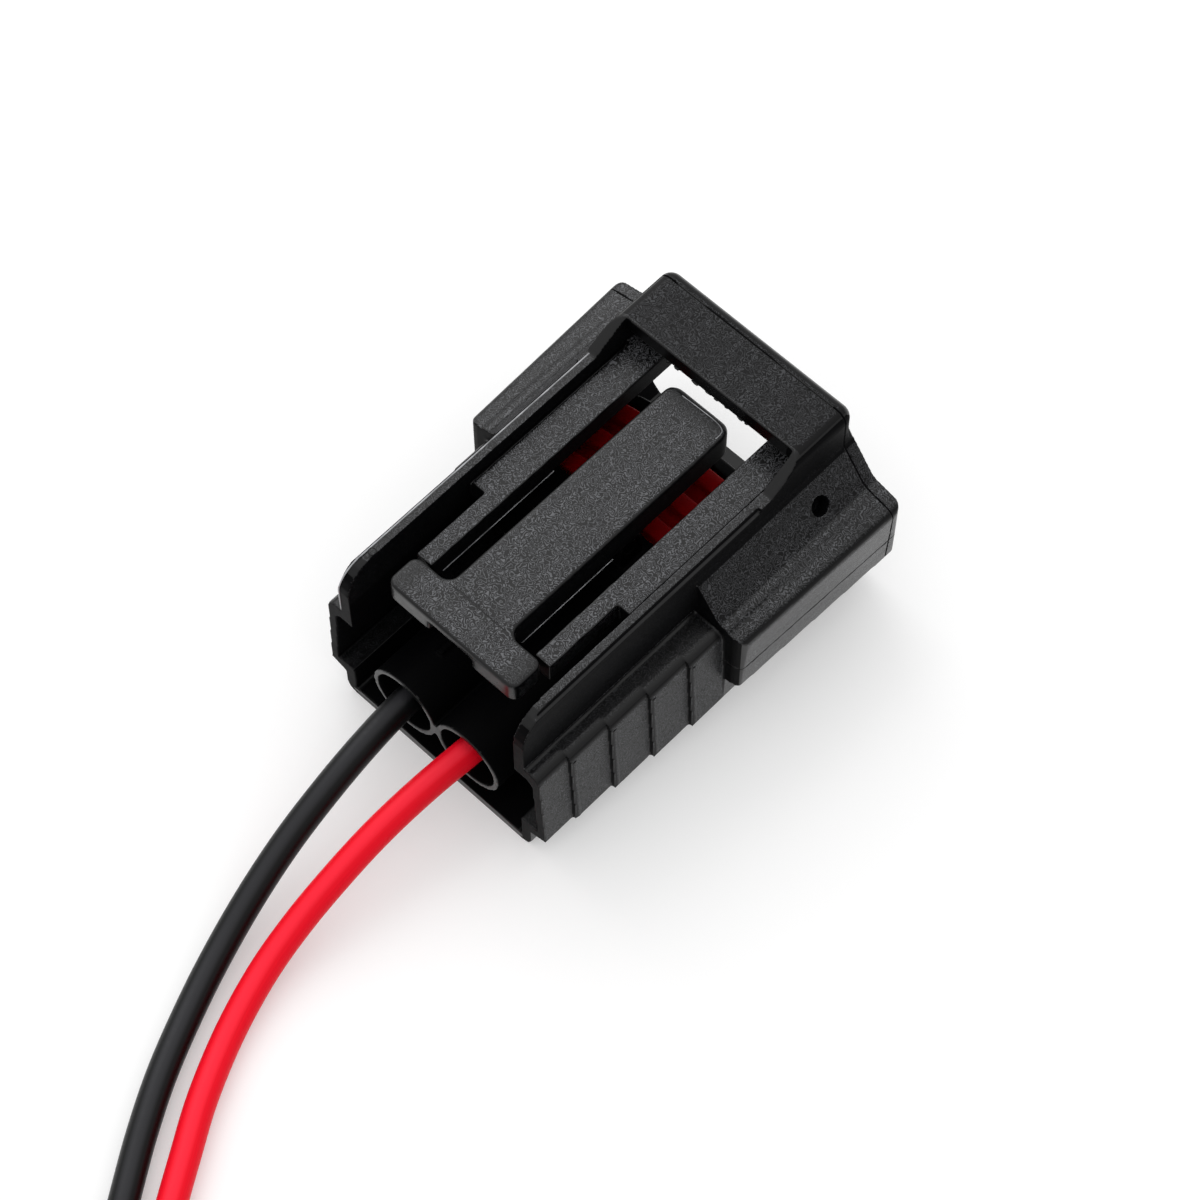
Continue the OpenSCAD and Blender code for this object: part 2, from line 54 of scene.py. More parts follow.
# Camera in millimetres; lamp, sky and floor in metres and plain strengths
CAMERA_AT = (80.01, -83.64, 218.20)
CAMERA_TARGET = (0, 0.12, 2.31)
LENS = 105
SENSOR = 36
CLIP_START = 0.01
LAMP_AT = (-0.3, 0.1, 0.35)
LAMP_SIZE = 0.3
LAMP_POWER = 0.4
SKY_LEAN = (-0.3, 0.2, 1.0)
SKY_LOW = 0.3
SKY_HIGH = 1.25
FLOOR_HALF = 2.0
FLOOR_SINK = 0.02 * MM
FLOOR_LIFT = 0.3

# Wire routes in millimetres, from the crimps to the stripped ends
INSULATION_Y = -2.4
WAY_X = 3.0
WAY_Z = 5.4
REST_Z = 1.1
BLACK_LEAD = [
    (-3, INSULATION_Y, WAY_Z), (-3, -7, WAY_Z), (-3, -11.5, WAY_Z), (-3, -16, WAY_Z),
    (-2.8, -20, 5.1), (-2.5, -24, 4.4), (-2.1, -28, 3.4), (-1.4, -32, 2.4), (-0.4, -36, 1.5),
    (1, -40, REST_Z), (3, -44.5, REST_Z), (5.1, -48.3, REST_Z), (7.4, -51.9, REST_Z),
    (10.6, -56.7, REST_Z), (13.9, -61.6, REST_Z), (16.7, -65.8, REST_Z)]
RED_LEAD = [
    (3, INSULATION_Y, WAY_Z), (3, -7, WAY_Z), (3, -11.5, WAY_Z), (2.7, -16, WAY_Z),
    (2.4, -20, 5.1), (2.2, -24, 4.4), (2.2, -28, 3.4), (2.4, -31.8, 2.4), (3, -35.6, 1.6),
    (4.3, -39.8, REST_Z), (6.3, -44.1, REST_Z), (8.5, -47.8, REST_Z), (11.5, -52.7, REST_Z),
    (14.6, -57.8, REST_Z), (17.8, -63, REST_Z)]
BEND_CENTRE = (10, -75.5)
BEND_START = 34
BEND_STEP = 22.5
BLACK_BEND_R = 11.0
BLACK_BEND_STEPS = 8
RED_BEND_R = 13.2
RED_BEND_STEPS = 7
TAIL_LEN = 9.5
STRIP_LEN = 6.0
STRAND_FRONT_Y = 0.7
STRAND_HELD = 0.6
STRAND_LAYERS = (1, 6, 12)
RAGGED = 0.25
WIRE_SIDES = 32
STRAND_SIDES = 10
STRAND_STEPS = 12

# Stations of the moulding in millimetres
FRONT_Y = 16.0
HOOD_Y = 0.4
HOOD_SIDE = 11.5
HOOD_INNER_Y = 2.6
SEAM_Y = FRONT_Y - 1.0
WING_SEAM_Z = 8.0
BRIDGE_Y = 10.65
BRIDGE_LOW_Z = 17.4
BRIDGE_TOP_Z = 18.8
BRIDGE_X = 8.5
GUARD_X = 7.6
FLANK_X = 8.55
GUARD_TOP_Z = 17.0
CHANNEL_Z = 10.3
LEDGE_Z = 11.5
KEEL_Z = 2.7
SHELL_X = 10.3
SHELL_DRAFT = 0.4
STEP_Y = (-13.3, -9.8, -6.3, -2.8)
STEP_OUT = 0.3
MOUTH_X = 10.75
MOUTH_Z = (0.9, 11.8)
LEVER_NOSE_Y = 10.2
PAD_FRONT_Y = -11.3
LEVER_TOP_Z = 16.6
REBATE = 0.35
RAIL_X = 4.75
RAIL_LOW_Z = 14.0
ARM_X = 2.75
ARM_LOW_Z = 13.8
CORE_HOLE = (9.914, 11.3, 13.34)
CORE_HOLE_R = 0.75
CORE_HOLE_DEPTH = 1.5
FLANK_NORMAL = (0.806, 0.0, 0.591)

# Roundings and small marks of the moulding in millimetres
BRIDGE_R = 1.0
BRIDGE_FOOT_Z = 15.4
BRIDGE_FADE = 1.0
CRUMB_X = (-3.6, -2.9, -1.2, -0.2, 0.9, 1.6, 2.8, 3.5)
PIN_MARK = (-7.9, -13.3)
PIN_MARK_R = 0.27
TUBE_MARK = (-2.7, -12.2, 8.3)
BEAD_R = 0.35
BEAD_PROUD = 0.05
BEAD_SET = 0.03
GUARD_END_R = 2.6
HAIR_R = 0.035
GUARD_HAIR_R = 0.055
HAIR_SIDES = 8
PAD_LINE_X = 2.4
NOSE_BAND = 0.45
NOSE_DROP = 0.18
NOSE_DEEP = 0.5
NOSE_CRUMBS = ((-1.6, 0.14), (-0.3, 0.22), (0.2, 0.16), (1.1, 0.1))
# Points of a pale hair line put along the inner border of the lever nose's rounded edge as a painted
# highlight
NOSE_HIGHLIGHT_LINE = ((-1.5, 9.73), (0.16, 9.79), (1.58, 9.79), (2.26, 9.6), (2.43, 9.26), (2.43, 8.8))
PAD_SCARS = ((1.9, -12.2), (2.3, -12.05), (2.5, -12.3))

# Rounds of smoothing on the mouldings, and most triangles in the smaller ones
EDGE_ROUNDS = 3
LEVER_ROUNDS = 40
LEVER_FACES = 90000
RETAINER_FACES = 40000

# Bands in millimetres over which the grain changes: heights, and distances from the middle
# The ledge and bridge bands dim the pale ridges there as painted shade
LEDGE_SHADE_BAND = (11.52, 11.66)
SOFT_EDGE_BAND = (11.6, 11.8)
RAISED_BAND = (13.3, 13.6)
GUARD_TOP_BAND = (15.5, 16.0)
BRIDGE_SHADE_BAND = (17.3, 17.7)
SIDE_BAND = (8.1, 8.3)
FLANK_BAND = (8.5, 8.7)
CALM_SIDE = 0.6
CALM_FRONT = 1.3
MELT_STREAK = (0.6, 9.0, 0.6)

# Finishes of the moulding: shine, dullness and share of the grain
GRAINED = (0.3, 0.3, 1.0)
# A darker, duller copy of the moulding, used as painted shade on faces in shadow
SHADED = (0.03, 0.5, 0.12)
SOFTER = (0.16, 0.4, 1.0)
SMOOTH_PLATE = (0.12, 0.35, 0.5)

# How far out and how far forward the grain begins to calm, in millimetres; FAR_OFF is past the part
FAR_OFF = 30
HOUSING_CALM = (7.3, FAR_OFF)
LEVER_CALM = (4.0, 8.2)
RETAINER_CALM = (FAR_OFF, FAR_OFF)

# Ring seal and wire seals in millimetres
TOWER_W = 14.4
TOWER_H = 5.4
TOWER_Z = 6.3
SEAL_LEN = 7.3
RING_RIBS = {"rib_len": 1.4, "rib_set": 0.3, "low": 0.8, "high": 1.6, "inner": 0.05, "soft": 0.16}
RING_STEPS = 40
WIRE_SEAL_BACK_Y = -10.4
WIRE_SEAL_LEN = 5.0
WIRE_SEAL_RIBS = {"rib_len": 1.0, "rib_set": 0.0, "low": 2.15, "high": 2.45, "inner": 1.1, "soft": 0.12}
WIRE_SEAL_STEPS = 32
SILICONE_DEPTH = 0.5


def linear(code):
    """Linear colour of an sRGB hex code."""
    parts = [int(code[i:i + 2], 16) / 255 for i in (1, 3, 5)]
    return tuple(c / 12.92 if c <= 0.04045 else ((c + 0.055) / 1.055) ** 2.4 for c in parts) + (1.0,)


def colour(name, description, code):
    return FloatVectorProperty(
        name=name, description=description, default=linear(code), size=4, min=0, max=1, subtype="COLOR")


def length(name, description, mm):
    return FloatProperty(
        name=name, description=description, default=mm * MM, min=0, unit="LENGTH", precision=5)


class PigtailSizes(bpy.types.PropertyGroup):
    """Sizes that a user would change."""
    housing_cell: length("Housing cell", "Grid cell that the housing's edges are rounded on", 0.1)
    lever_cell: length("Lever cell", "Grid cell that the lever's edges are rounded on", 0.09)
    retainer_cell: length("Retainer cell", "Grid cell that the retainer's edges are rounded on", 0.12)
    seam_depth: length("Seam depth", "Depth of the mould's parting lines", 0.12)
    seam_width: length("Seam width", "Width of the mould's parting lines", 0.16)
    grain: length("Grain", "Spacing of the spark-eroded grain", 0.17)
    wire_d: length("Wire diameter", "Diameter over a wire's insulation", 2.1)
    strand_d: length("Strand diameter", "Diameter of one copper strand", 0.235)
    strand_lay: length("Strand lay", "Length in which the strands turn once round", 16)
    housing_faces: IntProperty(
        name="Housing faces", description="Most triangles in the housing before it is cut for its seams",
        default=170000, min=20000, max=178000)


class PigtailColours(bpy.types.PropertyGroup):
    """Colours that a user would change."""
    plastic_dark: colour("Plastic, dark", "Plain faces and hollows of the grain", "#070708")
    plastic_light: colour("Plastic, light", "Ridges of the grain", "#5c5d60")
    # Painted highlight: the pale colour of the flash hair lines stands in for light caught along the edges
    # they follow
    plastic_highlight: colour("Plastic, rubbed", "Hair lines of flash that have been rubbed", "#b4b5b8")
    seal: colour("Ring seal", "Silicone of the ring seal", "#980106")
    wire_seal: colour("Wire seals", "Silicone of the wire seals", "#9a3a30")
    black_wire: colour("Black wire", "Insulation of the black wire", "#08090a")
    # Painted highlight: the black wire's upper side is coloured paler, as a streak of light along its top
    black_highlight: colour("Black wire, worn", "Upper side of the black wire", "#29292c")
    red_wire: colour("Red wire", "Insulation of the red wire", "#ff1028")
    # Painted highlight: the red wire's upper side is coloured paler, as a streak of light along its top
    red_highlight: colour("Red wire, worn", "Upper side of the red wire", "#ff283c")
    copper: colour("Copper", "Bare strands", "#c98d68")
    tin: colour("Tin", "Plating of the terminals", "#c9c6bf")
    floor: colour("Floor", "Plain floor under the part", "#dcdcdc")


def sizes():
    return bpy.context.scene.pigtail_sizes


def colours():
    return bpy.context.scene.pigtail_colours


def add_node(tree, kind, sockets=None, output=0, **settings):
    """Adds a shader node with its settings, values and links, and gives back one of its outputs."""
    node = tree.nodes.new("ShaderNode" + kind)
    for key, value in settings.items():
        setattr(node, key, value)
    for key, value in (sockets or {}).items():
        if isinstance(value, bpy.types.NodeSocket):
            tree.links.new(value, node.inputs[key])
        else:
            node.inputs[key].default_value = value
    return node.outputs[output] if node.outputs else node


def empty_tree(block):
    """The node tree of a new material or world, with nothing in it."""
    block.use_nodes = True
    block.node_tree.nodes.clear()
    return block.node_tree


def new_material(name):
    """A new material and its empty node tree."""
    material = bpy.data.materials.new(name)
    return material, empty_tree(material)


def darkened(tone, share):
    """A colour that gives back a share of the light."""
    return [share * v for v in tone[:3]] + [1.0]


def spark_eroded_pbt(name, finish, calm):
    """Glass-filled PBT moulded in a spark-eroded tool. Fine winding ridges stand paler on the outer faces,
    weaker on the sides and in streaks where the melt ran. On the ledges, in the shade of the guards, and on
    the bridge, which catches less light, the ridges are dimmed as painted shade. Rounded edges and hollows
    are smooth, and steep faces reflect the floor.
    The ridges of a real tool are near 0.1 mm apart, and they are drawn at the larger spacing of the grain so
    that they show."""
    c = colours()
    shine, dullness, grained = finish
    calm_x, calm_y = calm
    material, tree = new_material(name)
    place = add_node(tree, "TexCoord", output="Object")
    normal = add_node(tree, "NewGeometry", output="True Normal")
    off, facing = [
        add_node(tree, "SeparateXYZ", {
            0: add_node(tree, "VectorMath", {0: vector}, operation="ABSOLUTE")}).node.outputs
        for vector in (place, normal)]
    ahead = add_node(tree, "SeparateXYZ", {0: place}, "Y")
    up = add_node(tree, "SeparateXYZ", {0: normal}, "Z")
    square = add_node(tree, "Math", {0: facing["X"], 1: up}, operation="MAXIMUM")
    stretch = add_node(tree, "Mapping", {"Vector": place, "Scale": [1 / span for span in MELT_STREAK]})
    melt = add_node(tree, "TexNoise", {"Vector": stretch, "Scale": 1 / MM, "Detail": 2.0})
    ledge_shade, on_guard, on_side, raised, outside = [
        add_node(tree, "MapRange", {0: off[axis], 1: low * MM, 2: high * MM, 3: first, 4: last})
        for axis, (low, high), first, last in (
            ("Z", LEDGE_SHADE_BAND, 0.2, 1.0), ("Z", GUARD_TOP_BAND, 1.0, 0.45), ("X", SIDE_BAND, 0.0, grained),
            ("Z", RAISED_BAND, 0.0, grained), ("X", FLANK_BAND, 0.0, 0.5))]
    soft_edge = add_node(tree, "MapRange", {
        0: off["Z"], 1: SOFT_EDGE_BAND[0] * MM, 2: SOFT_EDGE_BAND[1] * MM, 4: outside})
    amount = add_node(tree, "Math", {0: on_side, 1: raised}, operation="MAXIMUM")
    # Shares of the grain: rounded edges, sides, bridge and ledges (both dimmed as painted shade), guard tops,
    # the lever's nose and melt streaks
    for value, low, high, first, last in (
            (square, 0.95, 0.985, soft_edge, 1.0),
            (up, 0.3, 0.8, 0.65, 1.0),
            (off["Z"], BRIDGE_SHADE_BAND[0] * MM, BRIDGE_SHADE_BAND[1] * MM, 1.0, 0.4),
            (up, 0.3, 0.6, 1.0, ledge_shade),
            (off["X"], calm_x * MM, (calm_x + CALM_SIDE) * MM, 1.0, on_guard),
            (ahead, calm_y * MM, (calm_y + CALM_FRONT) * MM, 1.0, 0.4),
            (melt, 0.35, 0.65, 0.7, 1.1)):
        share = add_node(tree, "MapRange", {0: value, 1: low, 2: high, 3: first, 4: last},
                         interpolation_type="SMOOTHSTEP")
        amount = add_node(tree, "Math", {0: amount, 1: share}, operation="MULTIPLY")
    level = add_node(tree, "TexNoise", {
        "Vector": place, "Scale": 0.5 / sizes().grain, "Detail": 0.0, "Distortion": 0.4})
    turned = add_node(tree, "Math", {0: level, 1: 10 * math.pi}, operation="MULTIPLY")
    winding = add_node(tree, "Math", {0: turned}, operation="SINE")
    ridges = add_node(tree, "MapRange", {0: winding, 1: 0.0, 2: 1.0}, interpolation_type="SMOOTHSTEP")
    relief = add_node(tree, "Math", {0: ridges, 1: amount}, operation="MULTIPLY")
    tone = add_node(tree, "Mix", {0: relief, 6: c.plastic_dark, 7: c.plastic_light}, 2, data_type="RGBA")
    rough = add_node(tree, "MapRange", {0: melt, 1: 0.3, 2: 0.7, 3: dullness - 0.03, 4: dullness + 0.03})
    bump = add_node(tree, "Bump", {"Height": relief, "Strength": 1.0, "Distance": 0.008 * MM})
    shader = add_node(tree, "BsdfPrincipled", {
        "Base Color": tone, "Roughness": rough, "Normal": bump, "Specular IOR Level": shine})
    add_node(tree, "OutputMaterial", {0: shader})
    return material


def thin_flash(name):
    """PBT squeezed out between the halves of the mould: a hair line whose pale, broken colour is a painted
    highlight along the edge it runs on.
    """
    c = colours()
    material, tree = new_material(name)
    place = add_node(tree, "TexCoord", output="Object")
    # Painted highlight, broken into stretches along the line
    glint_breaks = add_node(tree, "TexNoise", {"Vector": place, "Scale": 1 / (1.5 * MM), "Detail": 3.0})
    share = add_node(tree, "MapRange", {0: glint_breaks, 1: 0.3, 2: 0.6, 3: 0.35})
    tone = add_node(tree, "Mix", {0: share, 6: c.plastic_dark, 7: c.plastic_highlight}, 2, data_type="RGBA")
    shader = add_node(tree, "BsdfPrincipled", {"Base Color": tone, "Roughness": 0.35})
    add_node(tree, "OutputMaterial", {0: shader})
    return material


def moulded_silicone(name, tone):
    """Silicone rubber from a matt mould: soft, a little see-through at thin edges, with a dusty film that
    varies over a few tenths of a millimetre."""
    material, tree = new_material(name)
    place = add_node(tree, "TexCoord", output="Object")
    film = add_node(tree, "TexNoise", {"Vector": place, "Scale": 1 / (0.6 * MM), "Detail": 4.0})
    skin = add_node(tree, "Mix", {0: film, 6: tone, 7: darkened(tone, 0.7)}, 2, data_type="RGBA")
    rough = add_node(tree, "MapRange", {0: film, 1: 0.3, 2: 0.7, 3: 0.38, 4: 0.52})
    bump = add_node(tree, "Bump", {"Height": film, "Strength": 0.2, "Distance": 0.02 * MM})
    shader = add_node(tree, "BsdfPrincipled", {
        "Base Color": skin, "Roughness": rough, "Normal": bump, "Specular IOR Level": 0.06,
        "Subsurface Weight": 0.12, "Subsurface Scale": SILICONE_DEPTH * MM})
    add_node(tree, "OutputMaterial", {0: shader})
    return material


def extruded_pvc(name, tone, highlight, shine):
    """PVC insulation extruded over the strands: satin, with fine lines drawn along it by the die and a faint
    unevenness. Its upper side is painted paler, a painted highlight standing in for a streak of light along
    the top.
    The lines are near 0.02 mm and are drawn at 0.1 mm so that they show."""
    material, tree = new_material(name)
    turns = add_node(tree, "UVMap", uv_map="drawn")
    stretch = add_node(tree, "Mapping", {"Vector": turns, "Scale": (1 / 6.0, 60.0, 1.0)})
    lines = add_node(tree, "TexNoise", {"Vector": stretch, "Scale": 1.0, "Detail": 3.0})
    place = add_node(tree, "TexCoord", output="Object")
    skin = add_node(tree, "TexNoise", {"Vector": place, "Scale": 1 / (0.25 * MM), "Detail": 2.0})
    plain = add_node(tree, "Mix", {0: lines, 6: tone, 7: darkened(tone, 0.8)}, 2, data_type="RGBA")
    # Painted highlight: faces turned up take the paler colour, standing in for a streak of light along the
    # wire's top
    up = add_node(tree, "SeparateXYZ", {0: add_node(tree, "NewGeometry", output="Normal")}, "Z")
    highlighted = add_node(tree, "MapRange", {0: up, 1: 0.82, 2: 1.0}, interpolation_type="SMOOTHSTEP")
    shade = add_node(tree, "Mix", {0: highlighted, 6: plain, 7: highlight}, 2, data_type="RGBA")
    rough = add_node(tree, "MapRange", {0: skin, 1: 0.3, 2: 0.7, 3: 0.3, 4: 0.42})
    relief = add_node(tree, "Math", {0: skin, 1: 0.5, 2: lines}, operation="MULTIPLY_ADD")
    bump = add_node(tree, "Bump", {"Height": relief, "Strength": 0.25, "Distance": 0.02 * MM})
    shader = add_node(tree, "BsdfPrincipled", {
        "Base Color": shade, "Roughness": rough, "Normal": bump, "Specular IOR Level": shine})
    add_node(tree, "OutputMaterial", {0: shader})
    return material


def drawn_metal(name, tone, rough_low, rough_high, streak_mm):
    """Plated or drawn metal: bright, with fine lines along the way it was drawn or rolled and a thin dull
    film in patches."""
    material, tree = new_material(name)
    place = add_node(tree, "TexCoord", output="Object")
    stretch = add_node(tree, "Mapping", {
        "Vector": place, "Scale": (1 / streak_mm, 1 / (12 * streak_mm), 1 / streak_mm)})
    lines = add_node(tree, "TexNoise", {"Vector": stretch, "Scale": 1 / MM, "Detail": 2.0})
    film = add_node(tree, "TexNoise", {"Vector": place, "Scale": 1 / (0.8 * MM), "Detail": 3.0})
    plate = add_node(tree, "Mix", {0: film, 6: tone, 7: darkened(tone, 0.72)}, 2, data_type="RGBA")
    rough = add_node(tree, "MapRange", {0: film, 1: 0.3, 2: 0.7, 3: rough_low, 4: rough_high})
    bump = add_node(tree, "Bump", {"Height": lines, "Strength": 0.2, "Distance": 0.01 * MM})
    shader = add_node(tree, "BsdfPrincipled", {
        "Base Color": plate, "Roughness": rough, "Normal": bump, "Metallic": 1.0})
    add_node(tree, "OutputMaterial", {0: shader})
    return material


def show(name, mesh, materials, body, slot, *nodes):
    """Puts a mesh in the scene as a piece that rides on a body and stands for CAD nodes."""
    piece = bpy.data.objects.new(name, mesh)
    bpy.context.scene.collection.objects.link(piece)
    mesh.materials.clear()
    for material in materials:
        mesh.materials.append(material)
    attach(piece, body)
    if nodes:
        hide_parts(*nodes)
    return piece


def shaper_of(mesh):
    """An object that carries a mesh while modifiers shape it."""
    shaper = bpy.data.objects.new("shaper", mesh)
    bpy.context.scene.collection.objects.link(shaper)
    return shaper


def mesh_of(shaper, keep=False):
    """The mesh of an object with its modifiers; the object goes unless it is kept."""
    graph = bpy.context.evaluated_depsgraph_get()
    result = bpy.data.meshes.new_from_object(shaper.evaluated_get(graph))
    if not keep:
        bpy.data.objects.remove(shaper)
    return result


def moulded_mesh(node, cell, rounds, faces):
    """A copy of a node's mesh whose edges are rounded as a mould leaves them: it is rebuilt on a fine grid,
    smoothed, and thinned where it is flat. The work is done in millimetres."""
    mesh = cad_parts[node].data.copy()
    mesh.transform(Matrix.Scale(1 / MM, 4))
    work = bmesh.new()
    work.from_mesh(mesh)
    bmesh.ops.remove_doubles(work, verts=work.verts, dist=0.0005)
    work.to_mesh(mesh)
    work.free()
    shaper = shaper_of(mesh)
    grid = shaper.modifiers.new("grid", "REMESH")
    grid.mode = "VOXEL"
    grid.voxel_size = cell / MM
    smooth = shaper.modifiers.new("smooth", "SMOOTH")
    smooth.factor = 0.5
    smooth.iterations = rounds
    count = mesh_of(shaper, keep=True)
    total = 2 * len(count.polygons)
    bpy.data.meshes.remove(count)
    if total > faces:
        thin = shaper.modifiers.new("thin", "DECIMATE")
        thin.ratio = faces / total
    result = mesh_of(shaper)
    bpy.data.meshes.remove(mesh)
    return result


def opened(mesh):
    """A bmesh in place of a mesh."""
    work = bmesh.new()
    work.from_mesh(mesh)
    bpy.data.meshes.remove(mesh)
    return work


def finished(work, flats=False):
    """A mesh in metres from a bmesh in millimetres. With flats, its normals follow the large faces."""
    bmesh.ops.recalc_face_normals(work, faces=work.faces)
    mesh = bpy.data.meshes.new("mesh")
    work.to_mesh(mesh)
    work.free()
    mesh.shade_smooth()
    if flats:
        shaper = shaper_of(mesh)
        shaper.modifiers.new("normals", "WEIGHTED_NORMAL").weight = 90
        mesh = mesh_of(shaper)
    mesh.transform(Matrix.Scale(MM, 4))
    return mesh


def smooth_path(points, per=6):
    """Points on a smooth curve through the given ones."""
    p = [Vector(q) for q in points]
    p = [2 * p[0] - p[1]] + p + [2 * p[-1] - p[-2]]
    path = []
    for i in range(1, len(p) - 2):
        for k in range(per):
            t = k / per
            path.append(0.5 * (2 * p[i] + (p[i + 1] - p[i - 1]) * t
                               + (2 * p[i - 1] - 5 * p[i] + 4 * p[i + 1] - p[i + 2]) * t * t
                               + (3 * p[i] - p[i - 1] - 3 * p[i + 1] + p[i + 2]) * t ** 3))
    return path + [p[-2]]


def add_tube(work, path, radius, sides, drawn=None):
    """Adds a closed tube along a path, with its ends slightly rounded. The drawn layer keeps the way along in
    millimetres and the way round."""
    end_share, end_inset = 0.8, 0.12 * radius
    last = len(path) - 1
    heads = [(path[min(i + 1, last)] - path[max(i - 1, 0)]).normalized() for i in range(len(path))]
    stations = [(path[0], heads[0], end_share), *zip(path, heads, [1.0] * len(path)),
                (path[-1], heads[-1], end_share)]
    stations[1] = (path[0] + heads[0] * end_inset, heads[0], 1.0)
    stations[-2] = (path[-1] - heads[-1] * end_inset, heads[-1], 1.0)
    around = [2 * math.pi * k / sides for k in range(sides)]
    side = heads[0].orthogonal().normalized()
    rings, travelled, before = [], [], None
    for centre, head, share in stations:
        side = (side - head * side.dot(head)).normalized()
        up = head.cross(side)
        spokes = [math.cos(a) * side + math.sin(a) * up for a in around]
        rings.append([work.verts.new(centre + share * radius * spoke) for spoke in spokes])
        travelled.append(0 if before is None else travelled[-1] + (centre - before).length)
        before = centre
    for i in range(len(rings) - 1):
        for k in range(sides):
            n = (k + 1) % sides
            face = work.faces.new((rings[i][k], rings[i][n], rings[i + 1][n], rings[i + 1][k]))
            if drawn:
                corners = ((i, k), (i, k + 1), (i + 1, k + 1), (i + 1, k))
                for loop, (j, m) in zip(face.loops, corners):
                    loop[drawn].uv = (travelled[j], m / sides)
    work.faces.new(rings[0][::-1])
    work.faces.new(rings[-1])


def add_hair(work, points, radius=HAIR_R):
    """Adds a hair line of flash along a smooth curve."""
    add_tube(work, smooth_path(points), radius, HAIR_SIDES)


def add_blob(work, draw, centre, reach):
    """Adds a small uneven lump, as flash leaves at an edge."""
    made = bmesh.ops.create_icosphere(work, subdivisions=2, radius=1.0)["verts"]
    for vert in made:
        uneven = draw.uniform(0.75, 1.15)
        vert.co = Vector(centre) + uneven * Vector([r * v for r, v in zip(reach, vert.co)])


def cut_across(work, point, normal, geom=None):
    """Cuts the faces, or only those in geom, where a plane meets them."""
    if geom is None:
        geom = work.verts[:] + work.edges[:] + work.faces[:]
    return bmesh.ops.bisect_plane(work, geom=geom, dist=1e-5, plane_co=point, plane_no=normal)


def add_groove(work, point, normal, width, depth, on_seam):
    """Cuts a shallow V groove where a plane meets the faces that the seam runs over."""
    for shift in (-width / 2, width / 2, 0):
        made = cut_across(work, Vector(point) + shift * Vector(normal), normal)
    work.normal_update()
    for vert in [v for v in made["geom_cut"] if isinstance(v, bmesh.types.BMVert)]:
        if on_seam(vert.co):
            vert.co -= depth * vert.normal


def on_hood_outside(p):
    """True on the outer faces of the hood, and false in its mouth and in the channel under the bridge."""
    in_mouth = abs(p.x) < MOUTH_X + 0.2 and MOUTH_Z[0] < p.z < MOUTH_Z[1]
    in_channel = abs(p.x) < GUARD_X + 0.2 and CHANNEL_Z - 0.3 < p.z < BRIDGE_LOW_Z + 0.2
    return not (in_mouth or in_channel)


def on_wing(p):
    return abs(p.x) > HOOD_SIDE - 0.3 and p.y > HOOD_Y - 0.3


def on_pad_line(p):
    return abs(p.x) < PAD_LINE_X and p.z > LEVER_TOP_Z - 0.3


def is_shaded(p, normal):
    """True on the walls that face the middle, beside the guards, on the rear faces and in the core holes: the
    faces in shadow that take the darker, duller copy as painted shade.
    """
    x = abs(p.x)
    inward = normal.x * p.x < 0 and abs(normal.x) > 0.5 and x > RAIL_X - 1.5
    inside = x < GUARD_X + 0.05 and p.z < RAIL_LOW_Z and 0.1 - FRONT_Y < p.y < BRIDGE_Y
    rear = normal.y < -0.75 and x > GUARD_X - 1.2
    guard_side = abs(normal.x) > 0.7 and FLANK_X - 0.5 < x < FLANK_X + 0.2 and p.z > LEDGE_Z + 0.3
    on_shelf = GUARD_TOP_Z - 0.5 < p.z < GUARD_TOP_Z - 0.2 and p.y < BRIDGE_Y - 2.6
    shelf = p.x < REBATE - FLANK_X and on_shelf
    off = Vector((x, p.y, p.z)) - Vector(CORE_HOLE)
    depth = -off.dot(Vector(FLANK_NORMAL))
    from_axis = (off + depth * Vector(FLANK_NORMAL)).length
    in_hole = 0.1 < depth < CORE_HOLE_DEPTH and from_axis < CORE_HOLE_R + 0.1
    return inward or inside or rear or guard_side or shelf or in_hole


def is_softer(p, normal):
    """True on the hood's flanks, the grip steps and the bridge, which shine less than other outer faces."""
    x = abs(p.x)
    flank = p.y > HOOD_Y and x > FLANK_X and normal.z > 0.4 and abs(normal.x) > 0.5
    grip = p.y < HOOD_Y and x > SHELL_X - 1 and p.z < LEDGE_Z - 0.3
    bridge = p.y > BRIDGE_Y + 0.2 and p.z > BRIDGE_LOW_Z + 0.5 and normal.z > 0.8
    return flank or grip or bridge


def on_arm_side(p, normal):
    """True on the sides of the lever's arm, below its rounded top edges."""
    beside = abs(normal.x) > 0.6 and abs(p.x) < ARM_X + 0.2 and p.y > PAD_FRONT_Y + 0.6
    return beside and p.z < LEVER_TOP_Z - 0.2


